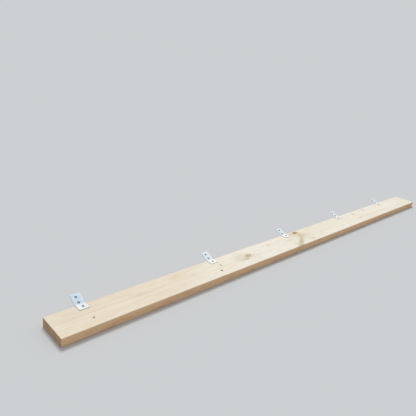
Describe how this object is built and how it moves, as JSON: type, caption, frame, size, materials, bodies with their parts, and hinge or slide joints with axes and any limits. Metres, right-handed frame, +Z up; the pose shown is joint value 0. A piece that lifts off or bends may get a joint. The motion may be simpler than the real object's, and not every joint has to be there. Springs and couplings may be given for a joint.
{
  "type": "timber purlin",
  "caption": "Long flat softwood roof purlin with bent galvanised tie plates nailed along one edge, for fixing down to the rafters that it crosses.",
  "frame": {"origin": "centre of the purlin's underside, halfway along its length and across its width", "axes": "+X along the purlin from the picture's near left end, +Y across its width towards the tie plates, +Z up through its thickness"},
  "size_m": [3, 0.1905, 0.0605],
  "materials": {
    "softwood": "planed softwood, pale and dry, with faint grain",
    "galvanised_plate": "bright galvanised sheet, pale blue-grey",
    "galvanised_nail": "dull galvanised wire"
  },
  "bodies": {
    "root": {"purlin": "softwood", "tie_plate_1": "galvanised_plate", "tie_plate_2": "galvanised_plate", "tie_plate_3": "galvanised_plate", "tie_plate_4": "galvanised_plate", "tie_plate_5": "galvanised_plate", "plate_nail_1": "galvanised_nail", "plate_nail_2": "galvanised_nail", "plate_nail_3": "galvanised_nail", "plate_nail_4": "galvanised_nail", "plate_nail_5": "galvanised_nail"}
  },
  "joints": []
}
